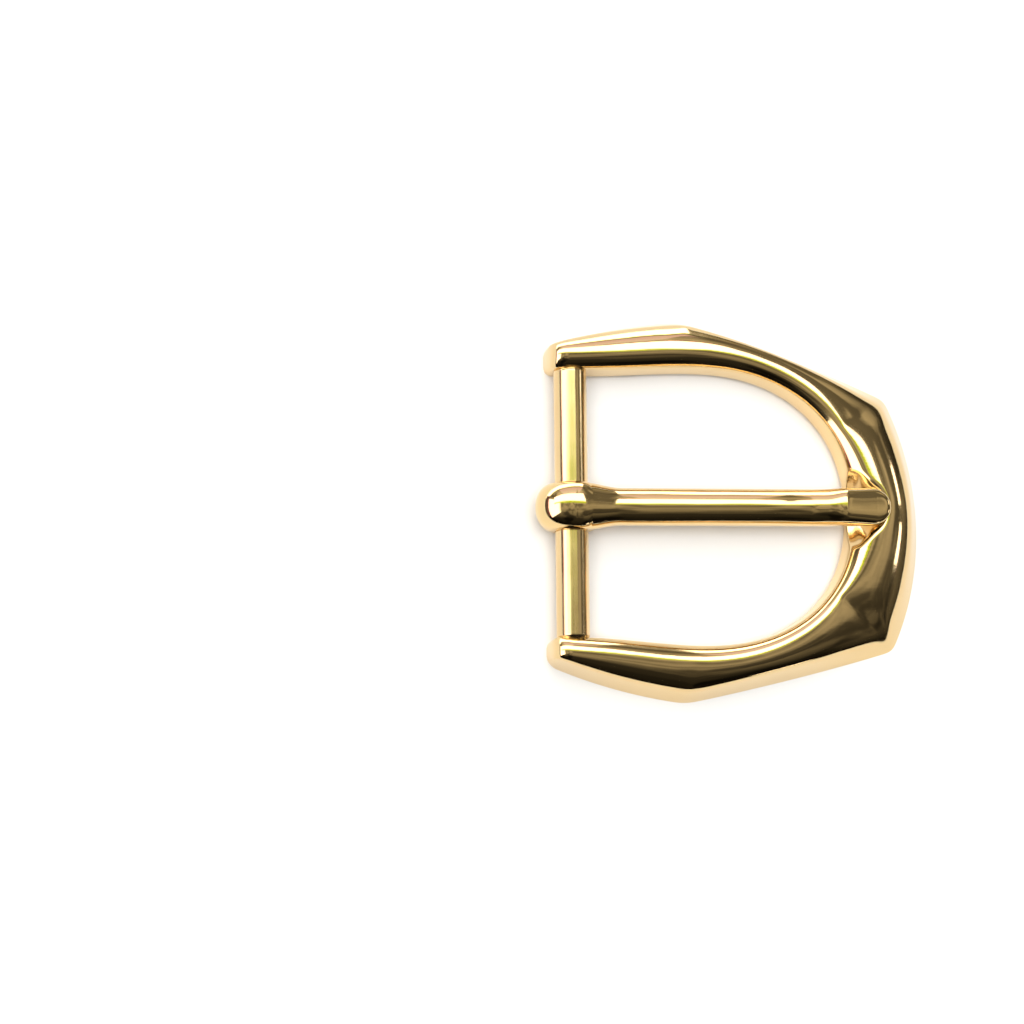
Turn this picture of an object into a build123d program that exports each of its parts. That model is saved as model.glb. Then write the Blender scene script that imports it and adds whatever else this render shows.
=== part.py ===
from build123d import *
import os
from math import cos, pi, radians, sin

# A one-prong strap buckle for a 25 mm strap: a die-cast frame with its strap bar cast in one,
# and a die-cast prong whose hook is closed round the bar.
# +X runs from the bar to the nose, +Z is the front face up, and the back lies on Z = 0.
# All lengths are in millimetres.

# ---- driving dimensions ----
strap_width = 25.0
half_length = 19.0            # from the middle to the nose, and to the front of the prong's hook
frame_width = 36.7            # across the two widest corners of the arms

bar_diameter = 3.1
bar_x = -15.5
bar_z = 2.45
bar_root = 1.2                # how far the bar runs into each arm

# the end of an arm, rounded off as seen from above and from the side
arm_end_x = -17.7
end_rounding = 1.3
toe_share = 0.08              # the share of the arm's arc that the rounding takes
cap_drop = 0.3                # from the top of the side wall down to where the end's roll starts
cap_length = 1.6
cap_rise = 1.2

# the D-shaped opening: a straight-sided mouth, then a superellipse round the nose
opening_top_x = -3.0          # where the opening is widest
opening_half_width = 13.08
opening_reach = 14.55         # from the widest place to the inside of the nose
opening_power = 2.25          # 2 is an ellipse, more is squarer
mouth_length = 11.5           # from the widest place back to where the arms run parallel
mouth_share = 0.42            # the mouth's share of the way from the arm's end to the nose

# the outline: an arc along the arm, one down the slanted side and one over the nose
arm_corner = (-4.3, frame_width / 2)
nose_corner = (16.15, 12.25)
arm_start = (-16.9, 15.35)
arm_bulge = (-10.6, 17.3)
side_bulge = (6.1, 15.62)

# the section's heights and drafts at the arm's end, the arm's corner, the nose's corner and the
# middle of the nose
wall_heights = (3.0, 2.6, 2.6, 2.6)
outer_drafts = (0.35, 0.83, 1.3, 1.4)
inner_drafts = (0.25, 0.45, 0.3, 0.3)
dome_shares = (0.46, 0.24, 0.235, 0.235)   # the dome's rise over the breadth between its shoulders
span_steps = 5                # gaps between the sections of one loft
halvings = 30

# the notch that the prong's tip lies in
notch_radius = 4.4
notch_low = (11.5, 1.5)       # X and Z of its floor below the inner edge of the nose
notch_high = (15.0, 3.5)      # and under the end of the prong's tip

# the prong: its hook
running_clearance = 0.05
hook_width = 4.5
hook_wall = 0.75              # under the bar, where the hook is closed
hook_front = -half_length
hook_front_z = 2.85
hook_top = 5.45
hook_end_x = -12.1
hook_heel_z = 1.85
heel_lean = (-0.4, -1)
hook_slit = 0.15
slit_overrun = 0.5            # how far the slit's cut runs past the hook at both ends

# the prong: its shank and tip
nape_x = -13.0
shank_width = 3.5
shank_start_x = -11.0
shank_bottom = 3.15
shank_top = 5.3
hump_start_x = 6.8
hump_x = 9.9
hump_rise = 0.2
under_hump = (10.5, 3.35)
tip_x = 14.95
tip_rounding = 0.55
tip_bottom = 3.7
tip_top = 4.8
shank_crest = 5.45            # the top of the round that domes the whole prong
shank_dome_radius = 2.3


def inner_edge(place):
    """A point on the inner edge and the outward direction there; place runs from 0 to 1."""
    if place < mouth_share:
        x = arm_end_x + (opening_top_x - arm_end_x) * place / mouth_share
        turn = pi * min((opening_top_x - x) / mouth_length, 1.0)
        narrowing = (opening_half_width - strap_width / 2) / 2
        slope = narrowing * pi / mouth_length * sin(turn)
        return Vector(x, opening_half_width - narrowing * (1 - cos(turn))), Vector(-slope, 1).normalized()
    angle = radians(90 * (1 - place) / (1 - mouth_share))
    across, along = max(cos(angle), 0.0), sin(angle)
    power = 2 / opening_power
    point = Vector(opening_top_x + opening_reach * across**power, opening_half_width * along**power)
    outward = Vector(across ** (2 - power) / opening_reach, along ** (2 - power) / opening_half_width)
    return point, outward.normalized()


def reach(point, outward, arc):
    """How far it is from a point inside an arc's circle to the circle, along a direction."""
    offset = point - Vector(arc.arc_center.X, arc.arc_center.Y)
    lean = offset.dot(outward)
    return -lean + (lean**2 - offset.dot(offset) + arc.radius**2) ** 0.5


def corner_place(first_arc, second_arc):
    """The place whose section runs through the corner between two arcs, found by halving."""
    low, high = 0.0, 1.0
    for _ in range(halvings):
        middle = (low + high) / 2
        point, outward = inner_edge(middle)
        if reach(point, outward, first_arc) < reach(point, outward, second_arc):
            low = middle
        else:
            high = middle
    return low


arm_arc = ThreePointArc(arm_start, arm_bulge, arm_corner)
side_arc = ThreePointArc(arm_corner, side_bulge, nose_corner)
nose_arc = ThreePointArc(nose_corner, (half_length, 0), (nose_corner[0], -nose_corner[1]))
section_places = (0.0, corner_place(arm_arc, side_arc), corner_place(side_arc, nose_arc), 1.0)


def between(values, place):
    """A value from its four stated places, with a straight run between each two."""
    for low, high, first, second in zip(section_places, section_places[1:], values, values[1:]):
        if place <= high:
            share = (place - low) / (high - low)
            return first + (second - first) * share
    return values[-1]


def section(place):
    """One cross-section of the frame, on a plane square to the inner edge: two steep walls and a
    round dome between their tops."""
    point, outward = inner_edge(place)
    width = min(reach(point, outward, arc) for arc in (arm_arc, side_arc, nose_arc))
    outer_draft, inner_draft = between(outer_drafts, place), between(inner_drafts, place)
    wall = between(wall_heights, place)
    ridge = wall + between(dome_shares, place) * (width - inner_draft - outer_draft)
    shoulder, crease = (inner_draft, wall), (width - outer_draft, wall)
    with BuildSketch(Plane(point, x_dir=outward, z_dir=outward.cross(Vector(0, 0, 1)))) as profile:
        with BuildLine():
            Polyline(shoulder, (0, 0), (width, 0), crease)
            ThreePointArc(crease, ((shoulder[0] + crease[0]) / 2, ridge), shoulder)
        make_face()
    return profile.sketch


def sections(first, last):
    """Evenly spaced sections from one place to another."""
    return [section(first + (last - first) * step / span_steps) for step in range(span_steps + 1)]


# ---- the arm's end from above: a rounded heel at the opening, and a toe into the arm's arc ----
with BuildSketch() as end_plan:
    with BuildLine():
        heel_end = Vector(arm_end_x, strap_width / 2 + end_rounding)
        Spline((arm_end_x + end_rounding, strap_width / 2), heel_end, tangents=[(-1, 0), (0, 1)])
        toe = Spline(heel_end, arm_arc @ toe_share, tangents=[(0, 1), arm_arc % toe_share])
        Polyline(
            toe @ 1, toe @ 1 + (arm_arc % 0) * frame_width, (frame_width, strap_width / 2),
            (arm_end_x + end_rounding, strap_width / 2)
        )
    make_face()

# ---- the arm's end from the side: it rolls down from the dome ----
with BuildSketch(Plane.XZ) as end_side:
    with BuildLine():
        cap_low = (arm_end_x, wall_heights[0] - cap_drop)
        cap_high = (arm_end_x + cap_length, wall_heights[0] + cap_rise)
        Spline(cap_low, cap_high, tangents=[(0, 1), (1, 0)])
        Polyline(cap_high, (0, cap_high[1]), (0, 0), (arm_end_x, 0), cap_low)
    make_face()

# ---- frame: arms, nose and strap bar in one casting, half of it made and mirrored ----
notch_run = Vector(notch_high[0] - notch_low[0], 0, notch_high[1] - notch_low[1])
notch_up = notch_run.cross(Vector(0, 1, 0)).normalized()
notch_start = Vector(notch_low[0], 0, notch_low[1]) + notch_up * notch_radius - notch_run
with BuildPart() as frame:
    loft(sections(section_places[0], section_places[1]))
    extrude(end_plan.sketch, amount=half_length, mode=Mode.INTERSECT)
    extrude(end_side.sketch, amount=-frame_width, mode=Mode.INTERSECT)
    for start, end in zip(section_places[1:], section_places[2:]):
        loft(sections(start, end))
    with BuildSketch(Plane.XZ):
        with Locations((bar_x, bar_z)):
            Circle(bar_diameter / 2)
    extrude(amount=-strap_width / 2 - bar_root)
    mirror(about=Plane.XZ)
    with BuildSketch(Plane(notch_start, z_dir=notch_run)):
        Circle(notch_radius)
    extrude(amount=notch_run.length * 3, mode=Mode.SUBTRACT)
frame.part.label = "frame"

# ---- prong: a domed shank, a pressed tip and a hook closed round the bar ----
hook_bottom = bar_z - bar_diameter / 2 - running_clearance - hook_wall
with BuildPart() as prong:
    with BuildSketch(Plane.XZ):
        with BuildLine():
            nape = Line((nape_x, hook_top), (shank_start_x, shank_top))
            back = Line(nape @ 1, (hump_start_x, shank_top))
            hump = Spline(back @ 1, (hump_x, shank_top + hump_rise), tangents=[(1, 0), (1, 0)])
            slope = Line(hump @ 1, (tip_x - tip_rounding, tip_top))
            end = Spline(slope @ 1, (tip_x - tip_rounding, tip_bottom), tangents=[slope % 1, (-1, 0)])
            Polyline(end @ 1, under_hump, (hump_start_x, shank_bottom), (hook_end_x, shank_bottom))
            heel = Line((hook_end_x, shank_bottom), (hook_end_x, hook_heel_z))
            under = Spline(heel @ 1, (bar_x, hook_bottom), tangents=[heel_lean, (-1, 0)])
            chin = Spline(under @ 1, (hook_front, hook_front_z), tangents=[(-1, 0), (0, 1)])
            Spline(chin @ 1, nape @ 0, tangents=[(0, 1), nape % 0])
        make_face()
    extrude(amount=hook_width / 2, both=True)
    with BuildSketch():
        with BuildLine():
            bulb = Spline((hook_front, 0), (bar_x, hook_width / 2), tangents=[(0, 1), (1, 0)])
            side = Spline(bulb @ 1, (shank_start_x, shank_width / 2), tangents=[(1, 0), (1, 0)])
            edge = Line(side @ 1, (tip_x - shank_width / 2, shank_width / 2))
            TangentArc(edge @ 1, (tip_x, 0), tangent=edge % 1)
            mirror(about=Plane.XZ)
        make_face()
    extrude(amount=half_length, mode=Mode.INTERSECT)
    with BuildSketch(Plane.YZ):
        with Locations((0, shank_crest - shank_dome_radius)):
            Circle(shank_dome_radius)
        Rectangle(2 * shank_dome_radius, shank_crest - shank_dome_radius, align=(Align.CENTER, Align.MIN))
    extrude(amount=half_length, both=True, mode=Mode.INTERSECT)
    with BuildSketch(Plane.XZ):
        with Locations((bar_x, bar_z)):
            Circle(bar_diameter / 2 + running_clearance)
        with Locations(((bar_x + hook_end_x) / 2, shank_bottom - hook_slit / 2)):
            Rectangle(hook_end_x - bar_x + 2 * slit_overrun, hook_slit)
    extrude(amount=hook_width, both=True, mode=Mode.SUBTRACT)
prong.part.label = "prong"

os.makedirs("parts", exist_ok=True)
export_step(frame.part, "parts/frame.step")
export_step(prong.part, "parts/prong.step")
for piece in (frame, prong):
    print(piece.part.label, "volume", round(piece.part.volume, 1), "valid", piece.part.is_valid)
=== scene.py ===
# %% [markdown]
# A one-prong buckle for a 25 mm strap, in polished pale gold plating.
#
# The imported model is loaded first. It fixes where everything is and what moves: the frame with
# its strap bar stands still, and the prong turns about the bar. The looks are then built round it.
# The buckle's shapes are worked out in millimetres, and scaled to metres when they go into a mesh.
# The room that the metal reflects is in metres from the start.

# %% Load the fixed frame
import math

import bpy
import numpy as np
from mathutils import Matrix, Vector


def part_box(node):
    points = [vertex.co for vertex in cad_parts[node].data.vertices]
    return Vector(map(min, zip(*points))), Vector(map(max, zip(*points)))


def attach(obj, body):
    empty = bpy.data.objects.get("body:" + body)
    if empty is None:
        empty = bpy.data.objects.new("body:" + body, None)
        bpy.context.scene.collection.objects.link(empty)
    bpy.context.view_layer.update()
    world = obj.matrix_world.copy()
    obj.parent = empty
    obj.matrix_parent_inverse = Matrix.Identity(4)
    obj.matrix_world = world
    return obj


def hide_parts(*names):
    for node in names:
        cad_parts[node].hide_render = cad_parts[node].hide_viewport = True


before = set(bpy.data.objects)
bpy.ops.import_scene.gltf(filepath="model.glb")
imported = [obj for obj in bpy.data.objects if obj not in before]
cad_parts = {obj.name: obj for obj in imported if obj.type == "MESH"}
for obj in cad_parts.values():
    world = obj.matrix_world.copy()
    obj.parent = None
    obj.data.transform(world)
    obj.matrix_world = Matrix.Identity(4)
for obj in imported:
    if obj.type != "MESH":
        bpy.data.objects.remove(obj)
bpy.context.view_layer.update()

# %% [markdown]
# The buckle's measures come from its design: the strap is 25 mm wide, so the bar is 25 mm long
# between the arms. The opening is a D and the outline is three arcs on each side: one along the
# arm, one down the slanted side and one over the nose. Where the box of the loaded model gives a
# measure, it is read from there, so the looks can't drift away from the working model. Polishing
# has taken a little off the ends of the arms.

# %% Measures of the frame
MM = 0.001
frame_low, frame_high = (np.array(corner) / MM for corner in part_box("frame"))
polished_off = 0.15
nose_x = frame_high[0]
arm_end_x = frame_low[0] + polished_off
half_width = frame_high[1]
strap_width = 25.0
bar_x, bar_z, bar_radius = -15.5, 2.45, 1.55
running_clearance = 0.05
opening_top_x, opening_half, opening_reach, opening_power = -3.0, 13.08, 14.55, 2.25
mouth_length = 11.5
print("nose", round(nose_x, 2), "arm end", round(arm_end_x, 2), "half width", round(half_width, 2))

# %% [markdown]
# Three small tools do most of the shaping. A soft minimum joins two surfaces with a rounded edge,
# as polishing does to a casting. A Gaussian run takes the kinks out of a list of values. A smooth
# track passes through stated values without overshooting them.

# %% Shaping tools
def soft_min(first, second, blend):
    """The lower of two heights; where they differ by less than blend, the corner is rounded by
    (1 - difference / blend) cubed, times a sixth of blend."""
    overlap = np.maximum(blend - np.abs(first - second), 0) / blend
    return np.minimum(first, second) - overlap**3 * blend / 6


def relaxed(values, spread):
    """Each value replaced by the Gaussian average of its neighbours, spread samples wide; past the
    two ends the run is continued by turning it about its last point."""
    reach = int(4 * spread) + 1
    weights = np.exp(-0.5 * (np.arange(-reach, reach + 1) / spread) ** 2)
    before = 2 * values[0] - values[reach:0:-1]
    after = 2 * values[-1] - values[-2 : -reach - 2 : -1]
    return np.convolve(np.concatenate([before, values, after]), weights / weights.sum(), "valid")


def smooth_track(knots, values, at):
    """A cubic through stated values. At a knot its slope is the harmonic mean of the slopes of the
    two runs that meet there, and zero where they point opposite ways, so it never overshoots."""
    knots, values = np.asarray(knots, float), np.asarray(values, float)
    gap = np.diff(knots)
    rise = np.diff(values) / gap
    both = rise[:-1] * rise[1:]
    mean = 2 * both / np.where(both > 0, rise[:-1] + rise[1:], 1)
    slope = np.concatenate([rise[:1], np.where(both > 0, mean, 0), rise[-1:]])
    part = np.clip(np.searchsorted(knots, at, "right") - 1, 0, len(gap) - 1)
    t = np.clip((at - knots[part]) / gap[part], 0, 1)
    start, end = values[part], values[part + 1]
    lift = t * (1 - t) * gap[part]
    return start + (end - start) * t * t * (3 - 2 * t) + lift * ((1 - t) * slope[part] - t * slope[part + 1])


def circle_through(first, middle, last):
    """Centre and radius of the circle through three points."""
    first, middle, last = (np.array(point, float) for point in (first, middle, last))
    chords = np.array([middle - first, last - first])
    squares = np.array([middle @ middle - first @ first, last @ last - first @ first])
    centre = np.linalg.solve(2 * chords, squares)
    return centre, math.dist(centre, first)


print("heights 1.0 and 1.1, joined over 0.5, give", round(float(soft_min(1.0, 1.1, 0.5)), 3))

# %% [markdown]
# Every piece here is a tube of rings: one closed ring of points for each station along the piece.
# Neighbouring rings are joined by four-sided faces, and each end is closed by a fan to one point in
# its middle. That keeps every piece one closed skin, with its faces outward. The skin is shaded
# smooth, except at edges that bend by more than 40 degrees, such as those round the flat back.

# %% From rings to a mesh
sharpest_smooth_bend = 40


def tube_mesh(name, rings):
    """A closed skin over rings, an array of stations x points x 3 in millimetres. Point j of ring i
    joins points j + 1 and i + 1, and the two end rings close on their own middles."""
    stations, around, _ = rings.shape
    points = np.concatenate([rings.reshape(-1, 3), rings[0].mean(0)[None], rings[-1].mean(0)[None]])
    here = np.arange(stations * around).reshape(stations, around)
    beside = np.roll(here, -1, axis=1)
    quads = np.stack([here[:-1], here[1:], beside[1:], beside[:-1]], axis=-1).reshape(-1, 4)
    first_pole, last_pole = stations * around, stations * around + 1
    first_fan = np.stack([here[0], beside[0], np.full(around, first_pole)], axis=-1)
    last_fan = np.stack([beside[-1], here[-1], np.full(around, last_pole)], axis=-1)
    mesh = bpy.data.meshes.new(name)
    mesh.from_pydata((points * MM).tolist(), [], quads.tolist() + first_fan.tolist() + last_fan.tolist())
    mesh.update()
    mesh.shade_smooth()
    mesh.set_sharp_from_angle(angle=math.radians(sharpest_smooth_bend))
    return mesh


def skin_volume(mesh):
    """The volume inside a closed mesh in cubic millimetres: a sixth of the sum, over its triangles,
    of the triple product of the corners. It is negative if the faces point inwards."""
    mesh.calc_loop_triangles()
    corners = np.empty(len(mesh.loop_triangles) * 3, np.int32)
    mesh.loop_triangles.foreach_get("vertices", corners)
    points = np.empty(len(mesh.vertices) * 3)
    mesh.vertices.foreach_get("co", points)
    a, b, c = points.reshape(-1, 3)[corners.reshape(-1, 3)].transpose(1, 0, 2)
    return np.einsum("ij,ij->i", a, np.cross(b, c)).sum() / 6 / MM**3


def add_piece(name, mesh):
    """The mesh as an object at the origin, in the scene."""
    piece = bpy.data.objects.new(name, mesh)
    bpy.context.scene.collection.objects.link(piece)
    print(name, "faces", len(mesh.polygons), "volume in mm3", round(skin_volume(mesh), 1))
    return piece


# %% [markdown]
# The frame's inner edge is the line that everything else is measured from. From the end of an arm
# the opening widens a little, as half a cosine wave, and then it is a superellipse round the nose:
# an ellipse whose exponent is 2.25 in place of 2, which makes it a touch squarer.

# %% The inner edge of the opening
half_stations = 460
mouth_samples, bend_samples = 800, 4000
edge_spread = 1.0


def inner_half(count):
    """Evenly spaced points on the +Y half of the inner edge, from the arm's end to the nose, and its
    length. On the bend, x is the cosine of the angle and y its sine, both to the power 2 / 2.25."""
    mouth_x = np.linspace(arm_end_x, opening_top_x, mouth_samples)
    narrowing = (opening_half - strap_width / 2) / 2
    turn = np.pi * np.minimum((opening_top_x - mouth_x) / mouth_length, 1)
    mouth = np.stack([mouth_x, opening_half - narrowing * (1 - np.cos(turn))], axis=1)
    angle = np.linspace(np.pi / 2, 0, bend_samples)[1:]
    power = 2 / opening_power
    bend_x = opening_top_x + opening_reach * np.cos(angle) ** power
    bend_y = opening_half * np.sin(angle) ** power
    points = np.concatenate([mouth, np.stack([bend_x, bend_y], axis=1)])
    length = np.concatenate([[0], np.cumsum(np.hypot(*np.diff(points, axis=0).T))])
    even = np.linspace(0, length[-1], count)
    return np.stack([np.interp(even, length, points[:, axis]) for axis in (0, 1)], axis=1), length[-1]


half_edge, half_run = inner_half(half_stations)
edge = np.concatenate([half_edge, half_edge[-2::-1] * [1, -1]])
station_gap = half_run / (half_stations - 1)
edge = np.stack([relaxed(edge[:, axis], edge_spread / station_gap) for axis in (0, 1)], axis=1)
run = np.arange(len(edge)) * station_gap
along = np.gradient(edge, run, axis=0)
along /= np.linalg.norm(along, axis=1, keepdims=True)
outward = np.stack([-along[:, 1], along[:, 0]], axis=1)
place = np.minimum(run, run[-1] - run) / half_run
print("inner edge", round(run[-1], 1), "mm round,", len(edge), "stations")

# %% [markdown]
# The outline is three circles on each side. How far a point lies inside each circle is a simple
# formula, and the soft minimum of the three is how far it lies inside the outline. The corners
# between the arcs are crisp near the rim of the dome, where they show as creases, and rounder on
# the side wall. The casting isn't quite true: its outline drifts to -Y towards the nose.

# %% The outline
arm_corner = (-4.3, half_width)
nose_corner = (16.15, 12.25)
arm_circle = circle_through((-16.9, 15.35), (-10.6, 17.3), arm_corner)
side_circle = circle_through(arm_corner, (6.1, 15.62), nose_corner)
nose_circle = circle_through(nose_corner, (nose_x, 0), (nose_corner[0], -nose_corner[1]))
drift_x = (-18, -12, -3, 2.5, 10, 14, 17, 19)
drift_y = (-0.2, -0.1, 0.08, 0.24, 0.6, 0.85, 1.05, 1.15)
wall_rounds = (0.55, 0.8)
widest, halvings = 12.0, 40


def true_y(x, y):
    """The y that a point of the casting would have if the outline were true."""
    return y + smooth_track(drift_x, drift_y, x)


def inside(x, y, arm_round, nose_round):
    """How far points lie inside the outline: radius less distance from the centre, the least of the
    three circles', with the corners rounded off by the two stated amounts."""
    y = true_y(x, y)
    depths = [
        radius - np.hypot(x - centre[0], np.abs(y) - centre[1])
        for centre, radius in (arm_circle, side_circle)
    ]
    nose_depth = nose_circle[1] - np.hypot(x - nose_circle[0][0], y)
    return soft_min(soft_min(depths[0], depths[1], arm_round), nose_depth, nose_round)


def crease_rounds(wall_depth):
    """The roundings of the two creases on the dome, which grow with the depth, so that a crease fades
    before it reaches the ridge. The arm's is 0.1 and half of what the depth is over 1 mm; the nose's
    is 0.15 and 0.65 of the depth."""
    return 0.1 + 0.5 * np.maximum(wall_depth - 1, 0), 0.15 + 0.65 * np.maximum(wall_depth, 0)


def outline_width():
    """For each station, how far it is from the inner edge straight out to the outline, by halving."""
    low, high = np.zeros(len(edge)), np.full(len(edge), widest)
    for _ in range(halvings):
        middle = (low + high) / 2
        x, y = (edge + outward * middle[:, None]).T
        within = inside(x, y, *wall_rounds) > 0
        low, high = np.where(within, middle, low), np.where(within, high, middle)
    return low


width = outline_width()
print("width at arm end, nose", round(width[0], 2), round(width[half_stations - 1], 2))

# %% [markdown]
# A section of the frame is a D lying on its back: a steep inner wall, a dome and a steep outer wall.
# The dome's inner half follows the opening and its outer half follows the outline, so the outline's
# corners run up the dome as creases and fade where they reach the ridge. In the middle of the nose
# a round groove is cut, in which the tip of the prong rests. The heights, slopes and drafts change
# along the frame, so each is stated at eight places and run smoothly through them.

# %% The section's measures along the frame
places = (0.0, 0.11, 0.23, 0.39, 0.6, 0.79, 0.9, 1.0)
place_spread = 1.5


def by_place(values):
    """A value for each station from its values at the arm's end, a little past the bar, the middle of
    the arm, its corner, the middle of the slanted side, the nose's corner, half way from there to the
    middle of the nose, and that middle."""
    return relaxed(np.interp(place, places, values), place_spread / station_gap)[:, None]


waist = 1.1
crest_at = by_place((1.5, 1.75, 1.85, 1.9, 1.45, 1.5, 2.15, 3.1))
crest_height = by_place((4.3, 4.2, 4.0, 3.75, 3.6, 3.75, 3.95, 4.1))
crest_blend = by_place((0.2, 0.2, 0.2, 0.2, 0.2, 0.4, 0.3, 0.2))
inner_slope = np.radians(by_place((50, 62, 64, 64, 64, 64, 64, 64)))
outer_slope = np.radians(by_place((66, 60, 52, 50, 42, 42, 45, 45)))
outer_draft = by_place((0.35, 0.55, 0.75, 0.83, 1.0, 1.3, 1.35, 1.4))
inner_draft = 0.15
least_span, steepest = 0.5, 1.3
wall_blend, groove_blend = 0.45, 0.3
groove_radius = 4.4
groove_x, groove_z = (11.0, 11.9, 12.7, 13.4, 14.2, 16.0), (0.7, 1.6, 2.5, 3.15, 3.6, 4.8)
print("crest", round(crest_height.min(), 2), "to", round(crest_height.max(), 2), "mm above the back")

# %% [markdown]
# The height of any point of the face follows from these measures by formulas alone, so the dome has
# no seams: each half of it is an arc of a circle, and the soft minimum joins the parts.

# %% Heights of the frame
def arc_rise(share_in, half_span, shoulder_slope):
    """The rise of a circular arc above its end, at a share of the way in from the end to its top: the
    radius times the cosine of the slope there, less the same at the end. Before the end it runs on
    straight, and past the top it stays level."""
    radius = half_span / np.sin(shoulder_slope)
    left = np.sin(shoulder_slope) * (1 - np.clip(share_in, 0, 1))
    curve = radius * (np.sqrt(1 - left**2) - np.cos(shoulder_slope))
    return curve + np.minimum(share_in, 0) * half_span * np.tan(np.minimum(shoulder_slope, steepest))


def groove_floor(x, y):
    """The groove for the prong's tip: a scoop that climbs steeply from the inner edge and runs out
    under the tip's end, round across with y squared / 2R + y to the fourth / 8R cubed."""
    climb = smooth_track(groove_x, groove_z, x)
    return climb + y**2 / (2 * groove_radius) + y**4 / (8 * groove_radius**3)


def frame_height(x, y, from_inner):
    """The height of the casting's face: the lowest of the inner wall, the dome's two halves, the
    outer wall and the groove, each joined to the next by a soft minimum."""
    wall_depth = inside(x, y, *wall_rounds)
    depth = inside(x, y, *crease_rounds(wall_depth))
    inner_span = crest_at - inner_draft
    outer_span = np.maximum(width[:, None] - outer_draft - crest_at, least_span)
    inner_foot = crest_height - inner_span * np.tan(inner_slope / 2)
    outer_foot = crest_height - outer_span * np.tan(outer_slope / 2)
    inner_dome = inner_foot + arc_rise((from_inner - inner_draft) / inner_span, inner_span, inner_slope)
    outer_dome = outer_foot + arc_rise((depth - outer_draft) / outer_span, outer_span, outer_slope)
    height = soft_min(inner_dome, outer_dome, crest_blend)
    height = soft_min(height, waist + from_inner * (inner_foot - waist) / inner_draft, wall_blend)
    height = soft_min(height, wall_depth * outer_foot / outer_draft, wall_blend)
    return soft_min(height, groove_floor(x, y), groove_blend)


# %% [markdown]
# The ends of the arms are bullet-shaped: seen from above their corners are rounded, and from the
# side the dome droops and then rolls down to the end. Each of these is a quarter ellipse over the
# last millimetre or two. Below its waist the inner wall curves back under the dome, and this
# undercut runs out over the last 3 mm of the arm.

# %% Build the frame's skin
top_points, back_points, undercut_points = 74, 6, 6
undercut, undercut_start = 0.4, 3.0
end_turn, end_narrowing = 0.95, 0.85
droop_length, droop = 1.7, 0.28
roll_length, roll = 0.6, 0.36


def end_inset(values, size, depth):
    """How much a quarter ellipse takes off at a distance from an end: depth at the end, nothing
    from size onwards."""
    t = np.clip(values / size, 0, 1)
    return depth * (1 - np.sqrt(1 - (1 - t) ** 2))


def frame_rings():
    """Rings across the frame, one a station: up the undercut to the inner waist, over the face to the
    outer foot, bunched towards both sides, and back along the flat underside. Where the ends narrow,
    the heights are read as if the face were wider, so that the dome keeps its form."""
    from_end = np.minimum(run, run[-1] - run)[:, None]
    inset = end_inset(from_end, end_turn, end_narrowing)
    spacing = (1 - np.cos(np.linspace(0, np.pi, top_points)))[None] / 2
    face_width = width[:, None] - 2 * inset
    reach = inset + face_width * spacing
    points = edge[:, None] + outward[:, None] * reach[..., None]
    x, y = points[..., 0], points[..., 1]
    stretched = (reach - inset) * width[:, None] / face_width
    true_share = np.sqrt(1 - inset / end_narrowing)
    height = frame_height(x, y, reach * true_share + stretched * (1 - true_share))
    fall = end_inset(from_end, droop_length, droop) + end_inset(from_end, roll_length, roll)
    height = np.maximum(height, 0) * (1 - fall)
    waist_height = waist * (1 - fall)
    height[:, :1], height[:, -1] = waist_height, 0
    face = np.stack([x, y, height], axis=-1)
    turn = np.linspace(0, np.pi / 2, undercut_points, endpoint=False)[None]
    under_reach = inset + undercut * np.clip(from_end / undercut_start, 0, 1) * (1 - np.sin(turn))
    under = edge[:, None] + outward[:, None] * under_reach[..., None]
    side = np.concatenate([under, (waist_height * (1 - np.cos(turn)))[..., None]], axis=-1)
    back = np.linspace(0, 1, back_points + 2)[1:-1][None, :, None]
    underside = face[:, -1:] * (1 - back) + side[:, :1] * back
    return np.concatenate([side, face, underside], axis=1)


frame_skin = tube_mesh("buckle_frame", frame_rings())
frame_piece = add_piece("buckle_frame", frame_skin)

# %% [markdown]
# The strap bar is cast in one with the arms. It is a surface of revolution about a line along Y,
# and its ends are blunt cones buried in the arms.

# %% The strap bar
bar_root, root_taper = 1.5, 0.8


def bar_rings(count=200, around=72):
    """Circles about the bar's line, from -Y to +Y, so that the faces look outwards; inside the arms
    their radius falls by 0.8 of the depth."""
    half = strap_width / 2 + bar_root
    y = half * np.sin(np.linspace(-np.pi / 2, np.pi / 2, count))
    radius = bar_radius - root_taper * np.maximum(np.abs(y) - strap_width / 2, 0)
    turn = np.linspace(0, 2 * np.pi, around, endpoint=False)
    x = bar_x + np.outer(radius, np.cos(turn))
    z = bar_z + np.outer(radius, np.sin(turn))
    return np.stack([x, np.repeat(y[:, None], around, 1), z], axis=-1)


bar_skin = tube_mesh("strap_bar", bar_rings())
bar_piece = add_piece("strap_bar", bar_skin)

# %% [markdown]
# The prong is one strip of metal, thick and domed, whose end is rolled round the bar. Its path runs
# from the tip along the shank, over the bar, round its front and underneath, to a slit behind it.
# For each station there is a point on the inner side, a point on the outer side, half a breadth and
# the form of the section, which is a D with its flat towards the strap and the bar.

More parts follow.
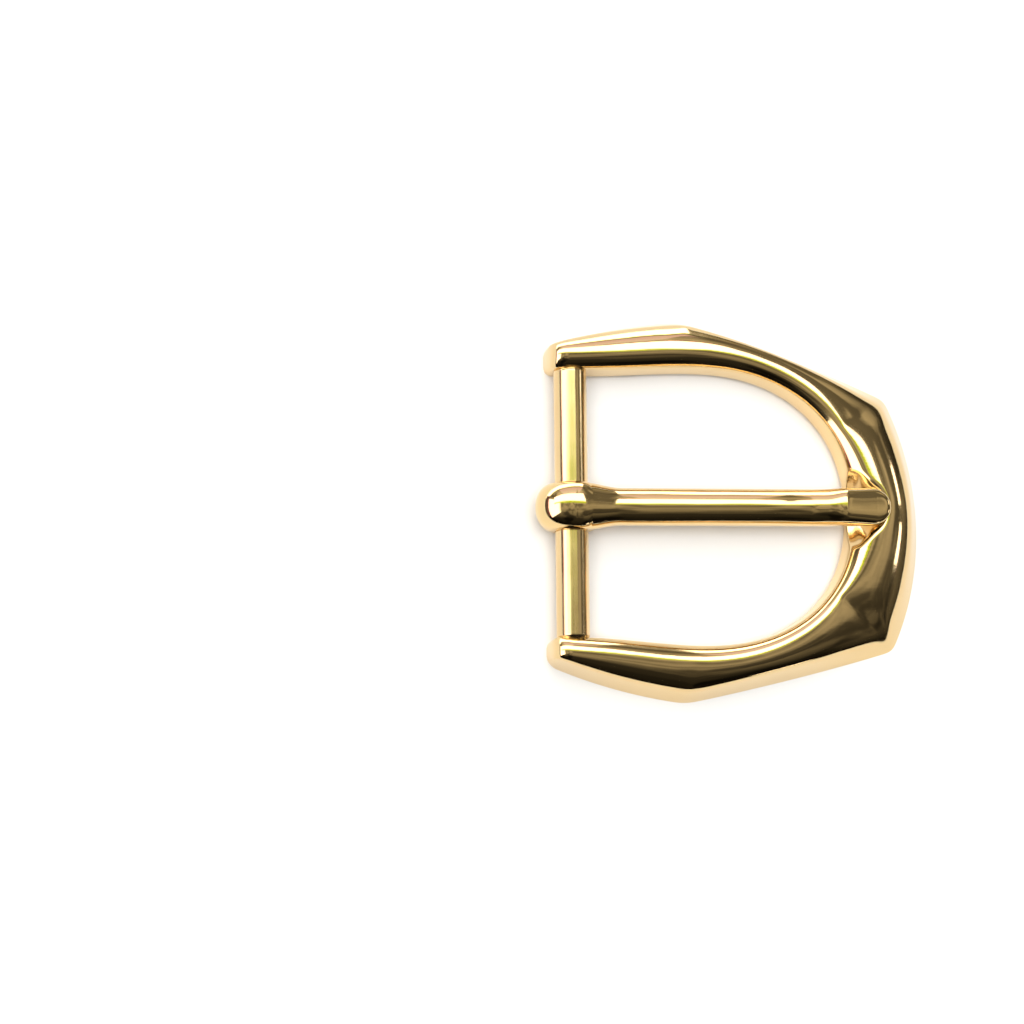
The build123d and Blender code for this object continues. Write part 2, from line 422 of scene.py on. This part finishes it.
# %% The prong's path
hole_radius = bar_radius + running_clearance
hook_half, shank_half = 2.25, 1.75
tip_end, tip_round, tip_turn = 14.95, 1.75, 0.12
top_x = (bar_x, -15.1, -13.5, -11.5, -9.5, -4.0, 3.0, 7.0, 8.6, 10.0, 10.4, 10.8, 14.3, tip_end)
top_z = (5.44, 5.43, 5.22, 4.98, 4.9, 5.0, 5.1, 5.02, 5.22, 5.46, 5.47, 5.4, 4.95, 4.86)
bottom_x, bottom_z = (bar_x, 6.8, 10.5, 13.0, 14.3, tip_end), (3.15, 3.15, 3.3, 3.7, 3.95, 4.05)
hook_top_turn, hook_bottom_turn, hook_end_turn, outer_end_turn = 90, 270, 380, 368
hook_turns = (90, 110, 135, 160, 180, 200, 225, 250, 270, 290, 315, 335, 350, 368)
hook_radii = (2.99, 3.08, 3.38, 3.52, 3.44, 3.3, 2.95, 2.52, 2.35, 2.48, 2.95, 3.3, 3.44, 3.42)


def shank_track():
    """Inner and outer points, half breadth and form from the tip to the top of the bar. The tip is a
    quarter ellipse seen from above, and blunter than that seen from the side."""
    round_end = tip_end - tip_round * (1 - np.sin(np.linspace(np.pi / 2, tip_turn, 60)))
    x = np.concatenate([round_end, np.linspace(round_end[-1], bar_x, 420)[1:]])
    top = relaxed(smooth_track(top_x, top_z, x), 2)
    bottom = smooth_track(bottom_x, bottom_z, x)
    hole = bar_z + np.sqrt(np.maximum(hole_radius**2 - (x - bar_x) ** 2, 0))
    bottom = np.maximum(bottom, np.where(np.abs(x - bar_x) < hole_radius, hole, 0))
    breadth = smooth_track((bar_x, -14.4, -11, 15), (hook_half, 2.22, shank_half, shank_half), x)
    into_tip = np.maximum(x - (tip_end - tip_round), 0) / tip_round
    rounding = np.sqrt(np.maximum(1 - into_tip**2, 1e-4))
    middle = (top + bottom) / 2
    blunt = np.sqrt(1 - (1 - rounding**2) ** 4)
    top, bottom = middle + (top - middle) * blunt, middle + (bottom - middle) * blunt
    wall = smooth_track((bar_x, -14, 8, 11, 15), (0.1, 0.22, 0.24, 0.4, 0.35), x)
    square = smooth_track((bar_x, 8.5, 11, 15), (2.05, 2.05, 2.8, 2.8), x)
    inner, outer = np.stack([x, bottom], 1), np.stack([x, top], 1)
    return inner, outer, breadth * rounding, wall, square


def hook_track(count=240):
    """The same round the bar: the inner point goes round the hole and the outer point round a curve
    that bulges forward, and the two directions drift apart towards the slit."""
    turn = np.linspace(hook_top_turn, hook_end_turn, count)[1:]
    lag = (outer_end_turn - hook_bottom_turn) / (hook_end_turn - hook_bottom_turn)
    outer_turn = turn - (1 - lag) * np.maximum(turn - hook_bottom_turn, 0)
    outer_radius = relaxed(smooth_track(hook_turns, hook_radii, outer_turn), 6)
    inner_angle, outer_angle = np.radians(turn), np.radians(outer_turn)
    hub = np.array([bar_x, bar_z])
    inner = hub + hole_radius * np.stack([np.cos(inner_angle), np.sin(inner_angle)], 1)
    outer = hub + outer_radius[:, None] * np.stack([np.cos(outer_angle), np.sin(outer_angle)], 1)
    breadth = smooth_track((90, 270, 320, 380), (hook_half, hook_half, 2.15, 1.7), turn)
    wall = smooth_track((90, 180, 270, 380), (0.1, 0.0, 0.1, 0.25), turn)
    square = smooth_track((90, 180, 270, 380), (2.05, 2.1, 2.1, 2.2), turn)
    return inner, outer, breadth, wall, square


track = [np.concatenate(pair) for pair in zip(shank_track(), hook_track())]
print("prong stations", len(track[0]))

# %% [markdown]
# The section of the strip is a closed D. It is worked out in shares, across from -1 to 1 and up from
# 0 to 1, so that the same formula serves the flat tip, the domed shank and the round hook.

# %% The D-shaped section
thinnest_wall, most_of_the_wall = 0.02, 0.9


def d_section(wall, square, corner_across, corner_up, dome=54, side=4, corner=5, flat=7):
    """One D for each station. A superellipse makes the dome, from the top of one side wall to that of
    the other; then come a wall, a rounded corner, the flat, and the other corner and wall."""
    turn = np.linspace(0, np.pi, dome)[None]
    power = 2 / square
    across = [np.sign(np.cos(turn)) * np.abs(np.cos(turn)) ** power]
    up = [wall + (1 - wall) * np.sin(turn) ** power]
    low = np.minimum(corner_up, np.maximum(wall, thinnest_wall) * most_of_the_wall)
    drop = np.linspace(0, 1, side, endpoint=False)[None, 1:]
    bend = np.linspace(0, np.pi / 2, corner)[None]
    level = np.linspace(-1, 1, flat)[None, 1:-1]
    across += [-1 + 0 * (wall + drop), -1 + corner_across * (1 - np.cos(bend)), level * (1 - corner_across)]
    up += [wall + (low - wall) * drop, low * (1 - np.sin(bend)), 0 * (wall + level)]
    across += [1 - corner_across * (1 - np.cos(bend[:, ::-1])), 1 + 0 * (wall + drop)]
    up += [low * (1 - np.sin(bend[:, ::-1])), wall + (low - wall) * drop[:, ::-1]]
    return np.concatenate(across, axis=1), np.concatenate(up, axis=1)


shares_across, shares_up = d_section(*np.array([0.2, 2.0, 0.1, 0.1]).reshape(4, 1, 1))
print("a section has", shares_across.size, "points, up to a share of", round(shares_up.max(), 3))

# %% [markdown]
# Now the sections are set up along the path. The tip closes on the middle of its own tiny section,
# and the other end of the strip, at the slit, gets a small round along its rim. The prong lies a
# little to one side at the bar, where nothing keeps it in the middle, and true in its groove.

# %% Build the prong's skin
corner_breadth, corner_height, least_breadth = 0.2, 0.22, 0.4
slide_at_bar, slide_start_x, slide_end_x = -0.45, -13.0, tip_end - 1


def prong_rings():
    """The D of each station set up between its inner and outer points and across its breadth."""
    inner, outer, breadth, wall, square = track
    thickness = np.linalg.norm(outer - inner, axis=1)
    corner_across = corner_breadth / np.maximum(breadth, least_breadth)[:, None]
    corner_up = corner_height / thickness[:, None]
    across, up = d_section(wall[:, None], square[:, None], corner_across, corner_up)
    centre = inner[:, None] + (outer - inner)[:, None] * up[..., None]
    slide_share = (slide_end_x - centre[..., 0]) / (slide_end_x - slide_start_x)
    slide = slide_at_bar * np.clip(slide_share, 0, 1)
    return np.stack([centre[..., 0], across * breadth[:, None] + slide, centre[..., 1]], axis=-1)


def rounded_close(rings, radius=0.18, steps=5):
    """The last ring is moved back by the radius, and rings from there to its old place shrink along a
    quarter circle, so that the rim of the end isn't sharp."""
    last = rings[-1]
    middle = last.mean(0)
    forward = middle - rings[-2].mean(0)
    forward /= np.linalg.norm(forward)
    size = np.linalg.norm(last - middle, axis=1).mean()
    turn = np.linspace(0, np.pi / 2, steps + 1)[1:, None, None]
    shrink = 1 - radius / size * (1 - np.cos(turn))
    extra = middle + (last - middle)[None] * shrink + forward * radius * (np.sin(turn) - 1)
    return np.concatenate([rings[:-1], (last - forward * radius)[None], extra])


prong_skin = tube_mesh("prong", rounded_close(prong_rings()))
prong_piece = add_piece("prong", prong_skin)

# %% [markdown]
# Shader maths reads best as ordinary arithmetic. A Wire holds a socket, and adding or multiplying
# Wires puts in the Math nodes. Every other node comes from the one method, which takes the node's
# kind, its settings and what goes into its sockets. Each material starts from an empty node tree.

# %% Shader arithmetic
class Wire:
    """A shader socket that takes part in arithmetic; each operator adds one Math node."""

    def __init__(self, tree, socket=None):
        self.tree, self.socket = tree, socket

    def node(self, kind, settings, inputs, output=0):
        """Adds a node: its settings first, with a ramp's stops among them, then its sockets."""
        made = self.tree.nodes.new(kind)
        for key, value in settings.items():
            if key == "stops":
                elements = made.color_ramp.elements
                while len(elements) < len(value):
                    elements.new(1.0)
                for element, (position, colour) in zip(elements, value):
                    element.position, element.color = position, (*colour, 1)
            else:
                setattr(made, key, value)
        for key, value in inputs.items():
            if isinstance(value, Wire):
                self.tree.links.new(value.socket, made.inputs[key])
            else:
                made.inputs[key].default_value = value
        return Wire(self.tree, made.outputs[output] if made.outputs else None)

    def math(self, operation, *values):
        """One Math node over the values."""
        return self.node("ShaderNodeMath", {"operation": operation}, dict(enumerate(values)))

    def at_least(self, lowest):
        """The larger of this and a number."""
        return self.math("MAXIMUM", self, lowest)

    def __add__(self, other):
        return self.math("ADD", self, other)

    def __sub__(self, other):
        return self.math("SUBTRACT", self, other)

    def __rsub__(self, other):
        return self.math("SUBTRACT", other, self)

    def __mul__(self, other):
        return self.math("MULTIPLY", self, other)

    __radd__, __rmul__ = __add__, __mul__


def empty_tree(owner):
    """The owner's node tree, emptied, as a Wire to start from; the owner is a material or a world."""
    owner.use_nodes = True
    owner.node_tree.nodes.clear()
    return Wire(owner.node_tree)


# %% [markdown]
# The finish is a thin bright gold plating over a polished casting. A mirror of metal takes its whole
# look from what it reflects, so the material itself is quiet: a pale warm gold that drifts a little
# in hue, hairline polishing marks, a slight waviness under the plating and some duller smears. The
# marks run along the arms and the prong, and along the bar.

# %% The plating
drift_scale, wave_scale, smear_scale, hair_scale = 140, 260, 420, 2600
wave_height, grain_height = 0.0002, 0.00002
along_x, along_the_bar = (0.05, 1, 1), (1, 0.05, 1)


def plating(name, colour, deep_colour, roughness, wave, grain, hair_stretch):
    """Polished gold plating: metal with a slow drift between two golds, roughness that varies with
    smears and hairlines, and a bump made of a slow wave and a fine grain."""
    material = bpy.data.materials.new(name)
    start = empty_tree(material)
    place_at = start.node("ShaderNodeTexCoord", {}, {}, output="Object")

    def noise(scale, detail=2.0, stretch=(1, 1, 1)):
        at = start.node("ShaderNodeMapping", {}, {"Vector": place_at, "Scale": stretch})
        return start.node("ShaderNodeTexNoise", {}, {"Vector": at, "Scale": scale, "Detail": detail})

    drift = noise(drift_scale)
    smear = noise(smear_scale, 4.0)
    hairs = noise(hair_scale, 3.0, hair_stretch)
    ripple = noise(wave_scale, 1.0)
    mixed = start.node(
        "ShaderNodeMix", {"data_type": "RGBA"},
        {0: drift * 0.7 + smear * 0.3, 6: (*deep_colour, 1), 7: (*colour, 1)}, output=2,
    )
    rough = smear * (roughness * 0.7) + hairs * (roughness * 0.5) + roughness * 0.4
    waves = start.node(
        "ShaderNodeBump", {}, {"Strength": wave, "Distance": wave_height, "Height": ripple}
    )
    fine = start.node(
        "ShaderNodeBump", {},
        {"Strength": grain, "Distance": grain_height, "Height": hairs, "Normal": waves},
    )
    shader = start.node(
        "ShaderNodeBsdfPrincipled", {},
        {"Base Color": mixed, "Metallic": 1.0, "Roughness": rough, "Normal": fine},
    )
    start.node("ShaderNodeOutputMaterial", {}, {"Surface": shader})
    return material


frame_gold = plating(
    "frame_gold_plating", (0.86, 0.65, 0.36), (0.76, 0.55, 0.27),
    roughness=0.08, wave=0.1, grain=0.15, hair_stretch=along_x,
)
bar_gold = plating(
    "bar_gold_plating", (0.86, 0.65, 0.36), (0.7, 0.5, 0.25),
    roughness=0.17, wave=0.06, grain=0.5, hair_stretch=along_the_bar,
)
prong_gold = plating(
    "prong_gold_plating", (0.86, 0.65, 0.34), (0.76, 0.54, 0.25),
    roughness=0.08, wave=0.2, grain=0.15, hair_stretch=along_x,
)
for piece, gold in ((frame_piece, frame_gold), (bar_piece, bar_gold), (prong_piece, prong_gold)):
    piece.data.materials.append(gold)
    print(piece.name, "is plated with", gold.name)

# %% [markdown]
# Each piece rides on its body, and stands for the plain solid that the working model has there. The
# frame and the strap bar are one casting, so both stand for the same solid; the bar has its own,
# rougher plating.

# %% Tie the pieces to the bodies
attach(frame_piece, "frame")
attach(bar_piece, "frame")
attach(prong_piece, "prong")
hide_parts("frame")
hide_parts("frame")
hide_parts("prong")
print("tied", [piece.name for piece in (frame_piece, bar_piece, prong_piece)])

# %% [markdown]
# The floor is a wide sheet of white paper that the buckle lies on. It also shows in the steep sides
# of the buckle, where it makes the pale warm rims.

# %% Floor
floor_reach = 4.0


def flat_sheet(name, corners, material):
    """A four-sided sheet in metres, with its material, linked into the scene."""
    mesh = bpy.data.meshes.new(name)
    mesh.from_pydata([tuple(corner) for corner in corners], [], [(0, 1, 2, 3)])
    mesh.update()
    mesh.materials.append(material)
    sheet = bpy.data.objects.new(name, mesh)
    bpy.context.scene.collection.objects.link(sheet)
    return sheet


def plain_material(name, kind, inputs):
    """A material of one shader."""
    material = bpy.data.materials.new(name)
    start = empty_tree(material)
    shader = start.node(kind, {}, inputs)
    start.node("ShaderNodeOutputMaterial", {}, {"Surface": shader})
    return material


paper = plain_material("white_paper", "ShaderNodeBsdfDiffuse", {"Color": (0.9, 0.9, 0.9, 1)})
round_the_floor = ((-1, -1), (1, -1), (1, 1), (-1, 1))
floor = flat_sheet("floor", [(floor_reach * x, floor_reach * y, 0) for x, y in round_the_floor], paper)
print("floor", 2 * floor_reach, "m wide, of", floor.data.materials[0].name)

# %% [markdown]
# Polished metal shows the room that it is in, so that room is what makes it look like metal. White
# cards stand behind, a long strip light hangs overhead, a window with its sill is on the left, and
# there are three small lamps, two on the right and one in front. Each is a rectangle on a plane
# square to one axis, with a ramp of colours across it, and glows only in reflections, so it is never
# in the way of another view.

# %% Cards and lamps
def light_card(name, axis, distance, first, second, strength, stops):
    """A glowing rectangle on the plane where the axis has that distance. first and second are its
    limits along the two other axes, in order, and the ramp's colours run along the second."""
    others = [number for number in range(3) if number != axis]
    corners = []
    for a, b in ((0, 0), (1, 0), (1, 1), (0, 1)):
        corner = [distance] * 3
        corner[others[0]], corner[others[1]] = first[a], second[b]
        corners.append(corner)
    material = bpy.data.materials.new(name)
    start = empty_tree(material)
    at = start.node("ShaderNodeTexCoord", {}, {}, output="Object")
    value = start.node("ShaderNodeSeparateXYZ", {}, {"Vector": at}, output="XYZ"[others[1]])
    share = (value - second[0]) * (1 / (second[1] - second[0]))
    ramp = start.node("ShaderNodeValToRGB", {"stops": stops}, {"Fac": share})
    shader = start.node("ShaderNodeEmission", {}, {"Color": ramp, "Strength": strength})
    start.node("ShaderNodeOutputMaterial", {}, {"Surface": shader})
    card = flat_sheet(name, corners, material)
    card.visible_camera = False
    card.visible_diffuse = False
    print(name, "glows with strength", strength)


white, pink, pale_pink = (1, 1, 1), (0.85, 0.5, 0.62), (0.85, 0.62, 0.75)
olive, dusk = (0.22, 0.3, 0.01), (0.11, 0.1, 0.04)
low_ramp = [(0.0, white), (0.86, white), (0.93, olive)]
middle_ramp = [(0.0, olive), (0.08, pale_pink), (1.0, white)]
strip_ramp = [(0.1, olive), (0.2, white), (0.9, white), (1.0, pink)]
window_ramp = [(0.0, pink), (0.07, white), (0.65, white), (1.0, dusk)]
sill_ramp = [(0.0, olive), (0.3, pink), (1.0, pink)]
lamp_ramp = [(0.0, pink), (0.12, white), (0.9, white), (1.0, olive)]

light_card("low_card", 1, 1.0, (-2.2, 0.36), (0.0, 0.47), 3.2, low_ramp)
light_card("middle_card", 1, 1.0, (-0.5, 0.38), (0.49, 1.37), 1.05, middle_ramp)
light_card("strip_light", 2, 0.9, (-1.1, 0.385), (0.15, 0.654), 3.2, strip_ramp)
light_card("window", 0, -1.0, (-0.8, 0.42), (0.29, 2.3), 3.0, window_ramp)
light_card("window_sill", 0, -1.0, (-0.6, 0.6), (0.03, 0.29), 0.2, sill_ramp)
light_card("right_lamp_far", 0, 1.0, (0.22, 0.46), (0.36, 0.52), 3.0, lamp_ramp)
light_card("right_lamp_near", 0, 1.0, (-0.12, 0.06), (0.36, 0.52), 3.0, lamp_ramp)
light_card("front_lamp", 1, -1.0, (0.6, 0.85), (0.12, 0.22), 3.0, lamp_ramp)

# %% [markdown]
# Everywhere else the room is dim and brown. It is brighter overhead and towards the back, and soft
# patches of noise stand for the shelves and doorways of a real room. The camera itself sees a plain
# pale backdrop past the floor.

# %% The dim room
brown, backdrop = (1.0, 0.92, 0.7), (0.95, 0.95, 0.95, 1)
side_glow, overhead_glow = 0.03, 0.33
towards_back, darkest_front = 1.35, 0.08
patches = {"Scale": 3.2, "Detail": 3.0, "Roughness": 0.45}
patch_contrast = {"From Min": 0.38, "From Max": 0.6, "To Min": 0.35, "To Max": 1.5}

world = bpy.data.worlds.new("dim_room")
bpy.context.scene.world = world
sky = empty_tree(world)
direction = sky.node("ShaderNodeTexCoord", {}, {}, output="Generated")
upward = sky.node("ShaderNodeSeparateXYZ", {}, {"Vector": direction}, output="Z")
backward = sky.node("ShaderNodeSeparateXYZ", {}, {"Vector": direction}, output="Y")
away = (1 + backward * towards_back).at_least(darkest_front)
clutter = sky.node("ShaderNodeTexNoise", {}, {"Vector": direction, **patches})
smooth_steps = {"interpolation_type": "SMOOTHSTEP"}
shelves = sky.node("ShaderNodeMapRange", smooth_steps, {"Value": clutter, **patch_contrast})
glow = (upward * overhead_glow + side_glow) * away * shelves
room = sky.node("ShaderNodeVectorMath", {"operation": "SCALE"}, {0: brown, "Scale": glow})
camera_ray = sky.node("ShaderNodeLightPath", {}, {}, output="Is Camera Ray")
seen = sky.node("ShaderNodeMix", {"data_type": "RGBA"}, {0: camera_ray, 6: room, 7: backdrop}, output=2)
light = sky.node("ShaderNodeBackground", {}, {"Color": seen, "Strength": 1.0})
sky.node("ShaderNodeOutputWorld", {}, {"Surface": light})
print("room shader", len(world.node_tree.nodes), "nodes")

# %% [markdown]
# One large soft light over the table lights the paper and gives the buckle its faint shadow. The
# metal doesn't reflect it, because the cards already stand for the lights of the room.

# %% The soft box
soft_box = bpy.data.lights.new("soft_box", "AREA")
soft_box.shape, soft_box.size, soft_box.energy = "DISK", 1.6, 30.0
soft_box_at = Vector((-0.2, 0.2, 1.2))
soft_light = bpy.data.objects.new("soft_box", soft_box)
soft_light.location = soft_box_at
soft_light.rotation_euler = soft_box_at.to_track_quat("Z", "Y").to_euler()
soft_light.visible_glossy = False
bpy.context.scene.collection.objects.link(soft_light)
print("soft box", round(soft_box_at.length, 2), "m away")

# %% [markdown]
# The camera looks down through a long lens, from a little to the left and in front of the buckle.
# The Standard view puts colours into the picture as they are.

# %% Camera
camera_data = bpy.data.cameras.new("camera")
camera_data.lens, camera_data.sensor_width = 85, 36
camera_data.clip_start, camera_data.clip_end = 0.01, 20.0
camera = bpy.data.objects.new("camera", camera_data)
camera.location = Vector((-61.732, -38.58, 219.478)) * MM
camera.rotation_euler = [math.radians(angle) for angle in (9.767, -10.505, -0.523)]
bpy.context.scene.collection.objects.link(camera)
bpy.context.scene.camera = camera
bpy.context.scene.view_settings.view_transform = "Standard"
bpy.context.scene.view_settings.look = "None"
print("camera", round(camera.location.length / MM), "mm from the middle of the buckle's back")
